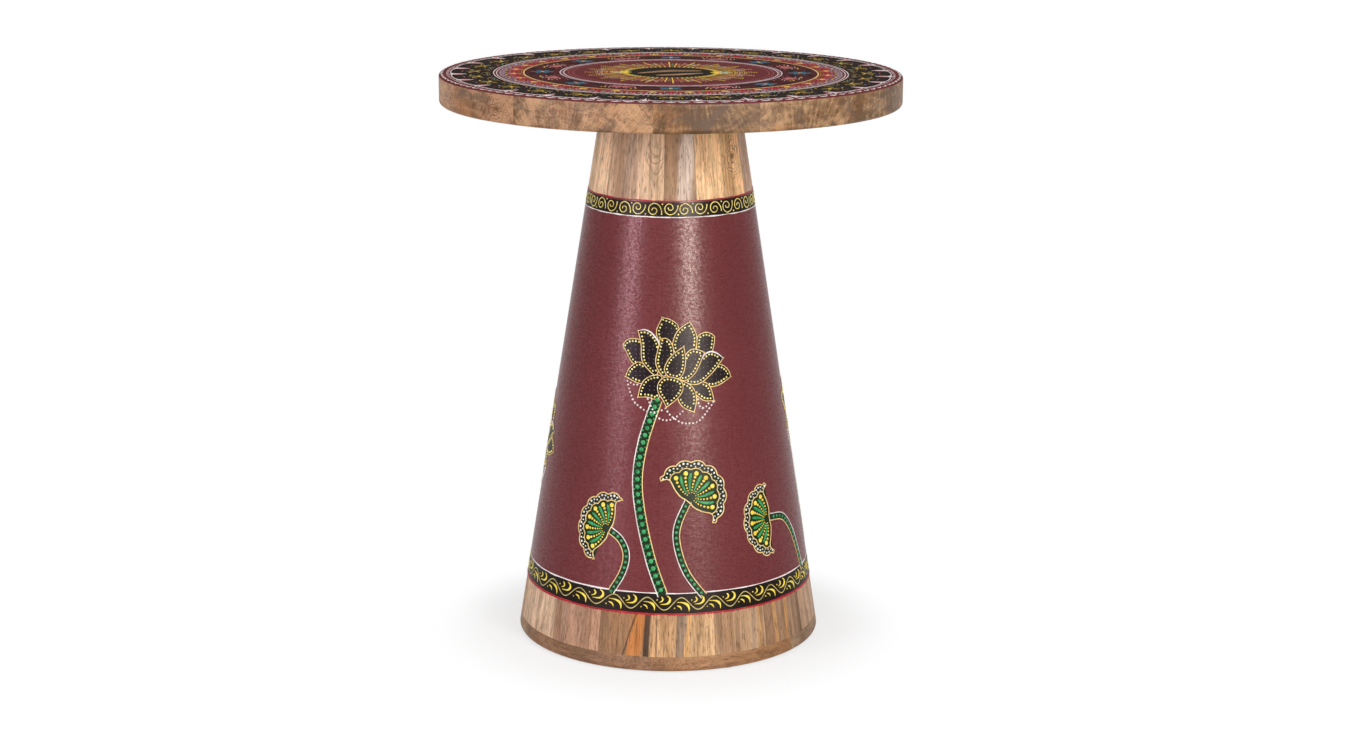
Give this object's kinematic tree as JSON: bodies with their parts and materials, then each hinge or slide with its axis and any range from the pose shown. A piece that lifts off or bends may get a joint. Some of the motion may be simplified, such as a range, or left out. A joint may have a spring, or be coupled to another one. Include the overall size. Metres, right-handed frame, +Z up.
{
  "type": "round pedestal side table",
  "caption": "Round wooden side table: a flat painted disc top bolted to a hollow coopered cone pedestal on a plinth ring, to stand things on beside a seat.",
  "frame": {"origin": "on the floor, at the middle of the foot", "axes": "+Z up along the pedestal, -Y the front that the picture shows"},
  "size_m": [0.4, 0.4, 0.5],
  "materials": {
    "top_wood": "mango boards under clear satin lacquer, painted on the upper face",
    "painted_stave_wood": "mango staves, oxblood paint between the bare neck and the bare foot",
    "ring_wood": "mango under clear satin lacquer",
    "block_wood": "sawn and unfinished",
    "dowel_wood": "plain",
    "bolt_steel": "zinc plated",
    "insert_brass": "plain",
    "pad_felt": "pressed felt",
    "oxblood_paint": "satin paint",
    "black_paint": "satin paint",
    "gold_paint": "raised paint",
    "white_paint": "raised paint",
    "green_paint": "raised paint",
    "red_paint": "raised paint",
    "blue_paint": "raised paint"
  },
  "bodies": {
    "root": {"top_board_01": "top_wood", "top_board_02": "top_wood", "top_board_03": "top_wood", "top_board_04": "top_wood", "top_board_05": "top_wood", "board_dowels": "dowel_wood", "stave_01": "painted_stave_wood", "stave_02": "painted_stave_wood", "stave_03": "painted_stave_wood", "stave_04": "painted_stave_wood", "stave_05": "painted_stave_wood", "stave_06": "painted_stave_wood", "stave_07": "painted_stave_wood", "stave_08": "painted_stave_wood", "stave_09": "painted_stave_wood", "stave_10": "painted_stave_wood", "stave_11": "painted_stave_wood", "stave_12": "painted_stave_wood", "stave_13": "painted_stave_wood", "stave_14": "painted_stave_wood", "stave_15": "painted_stave_wood", "stave_16": "painted_stave_wood", "ring_segment_01": "ring_wood", "ring_segment_02": "ring_wood", "ring_segment_03": "ring_wood", "ring_segment_04": "ring_wood", "ring_segment_05": "ring_wood", "ring_segment_06": "ring_wood", "stave_dowels": "dowel_wood", "neck_block": "block_wood", "top_bolts": "bolt_steel", "bolt_washers": "bolt_steel", "threaded_inserts": "insert_brass", "felt_pads": "pad_felt"}
  },
  "joints": []
}
